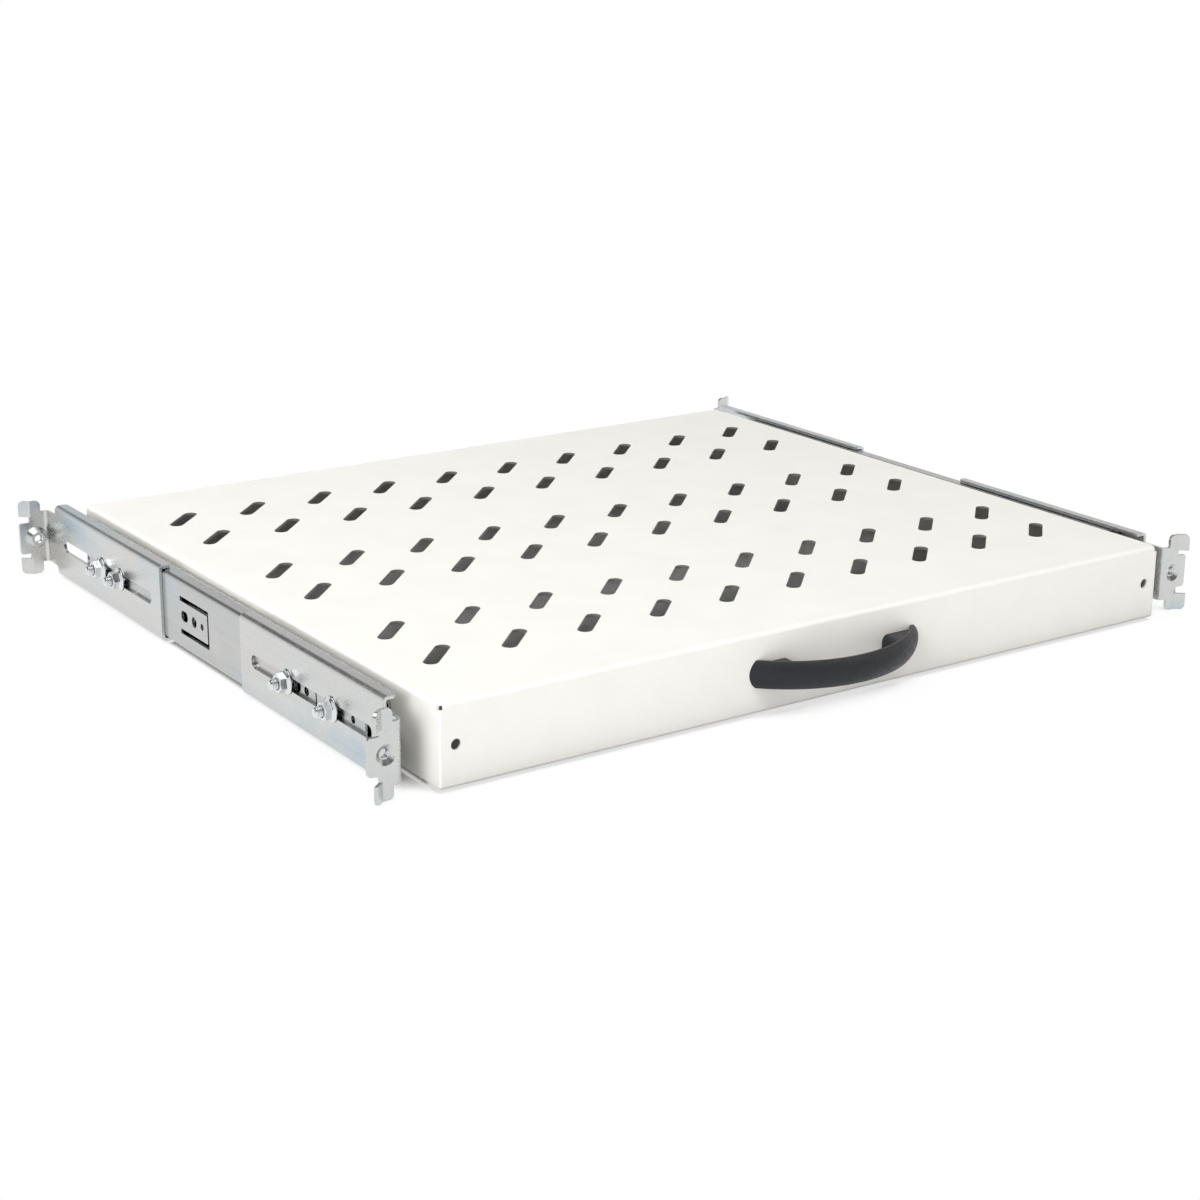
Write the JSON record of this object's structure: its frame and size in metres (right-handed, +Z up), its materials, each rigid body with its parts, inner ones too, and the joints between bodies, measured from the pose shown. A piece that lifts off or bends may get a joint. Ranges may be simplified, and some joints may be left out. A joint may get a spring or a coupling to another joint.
{
  "type": "sliding rack shelf",
  "caption": "Sliding rack shelf: a folded, slotted metal tray with a bow handle on telescopic ball slides, carried by depth-adjustable brackets with hooked, tapped rack ears.",
  "frame": {"origin": "midway between the two front ear threads, on the ear faces that meet the rack posts", "axes": "+X to the right across the rack, +Y to the rear, +Z up"},
  "size_m": [0.4826, 0.4189, 0.0402],
  "materials": {
    "tray_paint": "off-white powder coat, satin with a faint orange peel",
    "handle_plastic": "anthracite moulded plastic, finely textured",
    "zinc_rail": "bright zinc plate with drawing lines along the rail",
    "zinc_bracket": "bluish zinc plate, faintly iridescent",
    "zinc_fastener": "bright zinc plate",
    "cage_steel": "greased steel strip",
    "ball_steel": "polished ball",
    "buffer_rubber": "moulded black rubber"
  },
  "bodies": {
    "front_brackets": {"left_front_bracket": "zinc_bracket", "right_front_bracket": "zinc_bracket"},
    "slide_rails": {"left_outer_rail": "zinc_rail", "left_rail_bumper": "buffer_rubber", "left_bracket_studs": "zinc_fastener", "left_bracket_nuts": "zinc_fastener", "right_outer_rail": "zinc_rail", "right_rail_bumper": "buffer_rubber", "right_bracket_studs": "zinc_fastener", "right_bracket_nuts": "zinc_fastener"},
    "left_rear_ear": {"left_rear_bracket": "zinc_bracket"},
    "right_rear_ear": {"right_rear_bracket": "zinc_bracket"},
    "shelf": {"shelf_tray": "tray_paint", "pull_handle": "handle_plastic", "handle_screws": "zinc_fastener", "left_inner_rail": "zinc_rail", "left_slide_screws": "zinc_fastener", "right_inner_rail": "zinc_rail", "right_slide_screws": "zinc_fastener"},
    "left_middle_rail_set": {"left_middle_rail": "zinc_rail"},
    "left_outer_ball_row": {"left_outer_ball_cages": "cage_steel", "left_outer_balls": "ball_steel"},
    "left_inner_ball_row": {"left_inner_ball_cages": "cage_steel", "left_inner_balls": "ball_steel"},
    "right_middle_rail_set": {"right_middle_rail": "zinc_rail"},
    "right_outer_ball_row": {"right_outer_ball_cages": "cage_steel", "right_outer_balls": "ball_steel"},
    "right_inner_ball_row": {"right_inner_ball_cages": "cage_steel", "right_inner_balls": "ball_steel"}
  },
  "joints": [
    {"name": "rail_adjust", "type": "slide", "parent": "front_brackets", "child": "slide_rails", "axis": [0, 1, 0], "range_m": [-0.0325, 0.0315]},
    {"name": "left_depth_adjust", "type": "slide", "parent": "slide_rails", "child": "left_rear_ear", "axis": [0, 1, 0], "range_m": [-0.047, 0.0355]},
    {"name": "right_depth_adjust", "type": "slide", "parent": "slide_rails", "child": "right_rear_ear", "axis": [0, 1, 0], "range_m": [-0.047, 0.0355]},
    {"name": "shelf_slide", "type": "slide", "parent": "slide_rails", "child": "shelf", "axis": [0, -1, 0], "range_m": [0, 0.3]},
    {"name": "left_middle_rail_slide", "type": "slide", "parent": "slide_rails", "child": "left_middle_rail_set", "axis": [0, -1, 0], "range_m": [0, 0.15]},
    {"name": "left_outer_ball_row_slide", "type": "slide", "parent": "slide_rails", "child": "left_outer_ball_row", "axis": [0, -1, 0], "range_m": [0, 0.075]},
    {"name": "left_inner_ball_row_slide", "type": "slide", "parent": "slide_rails", "child": "left_inner_ball_row", "axis": [0, -1, 0], "range_m": [0, 0.225]},
    {"name": "right_middle_rail_slide", "type": "slide", "parent": "slide_rails", "child": "right_middle_rail_set", "axis": [0, -1, 0], "range_m": [0, 0.15]},
    {"name": "right_outer_ball_row_slide", "type": "slide", "parent": "slide_rails", "child": "right_outer_ball_row", "axis": [0, -1, 0], "range_m": [0, 0.075]},
    {"name": "right_inner_ball_row_slide", "type": "slide", "parent": "slide_rails", "child": "right_inner_ball_row", "axis": [0, -1, 0], "range_m": [0, 0.225]}
  ],
  "couplings": [
    {"joint": "left_middle_rail_slide", "follows": "shelf_slide", "ratio": 0.5},
    {"joint": "left_outer_ball_row_slide", "follows": "shelf_slide", "ratio": 0.25},
    {"joint": "left_inner_ball_row_slide", "follows": "shelf_slide", "ratio": 0.75},
    {"joint": "right_middle_rail_slide", "follows": "shelf_slide", "ratio": 0.5},
    {"joint": "right_outer_ball_row_slide", "follows": "shelf_slide", "ratio": 0.25},
    {"joint": "right_inner_ball_row_slide", "follows": "shelf_slide", "ratio": 0.75}
  ]
}
